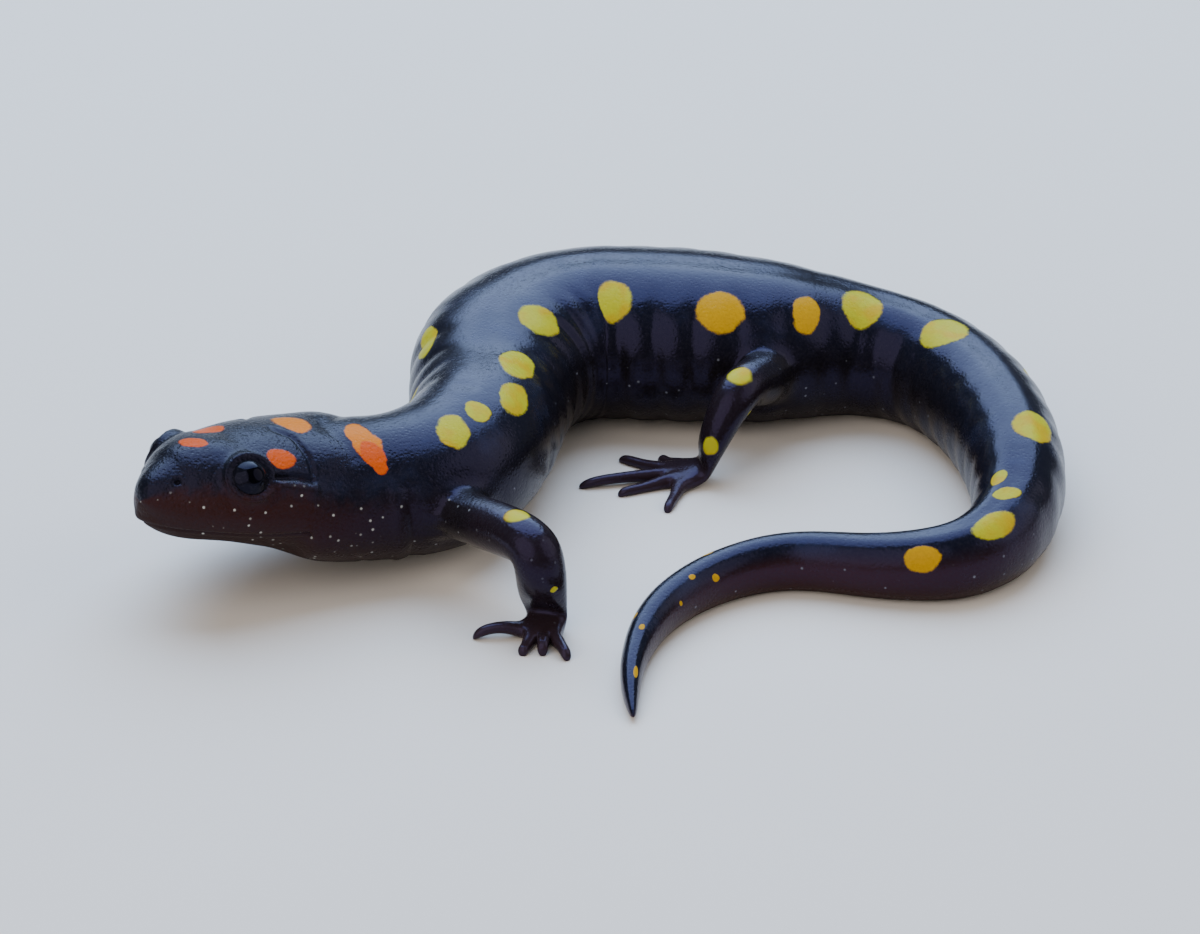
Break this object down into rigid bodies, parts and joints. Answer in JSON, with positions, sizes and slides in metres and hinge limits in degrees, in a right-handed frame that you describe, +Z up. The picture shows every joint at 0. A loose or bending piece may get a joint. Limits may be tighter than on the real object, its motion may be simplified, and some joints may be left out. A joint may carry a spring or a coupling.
{
  "type": "spotted salamander",
  "caption": "Life-size spotted salamander, black with round yellow and orange spots, propped on its forelegs with the tail curled round to the front.",
  "frame": {"origin": "middle of the model's box, on the floor it rests on", "axes": "+X towards the bend at the root of the tail, so the head is at -X; +Z up from the floor"},
  "size_m": [0.0928, 0.0878, 0.0173],
  "materials": {
    "skin": "wet, smooth and glossy, black with pale yellow to orange spots",
    "eye": "wet and glossy, nearly black"
  },
  "bodies": {
    "root": {"head": "skin", "lower_jaw": "skin", "neck": "skin", "trunk_front": "skin", "trunk_middle": "skin", "trunk_rear": "skin", "tail_base": "skin", "tail_middle": "skin", "tail_end": "skin", "tail_tip": "skin", "upper_arm_left": "skin", "forearm_left": "skin", "hand_left": "skin", "thigh_left": "skin", "shank_left": "skin", "foot_left": "skin", "upper_arm_right": "skin", "forearm_right": "skin", "hand_right": "skin", "thigh_right": "skin", "shank_right": "skin", "foot_right": "skin", "eye_left": "eye", "eye_right": "eye"}
  },
  "joints": []
}
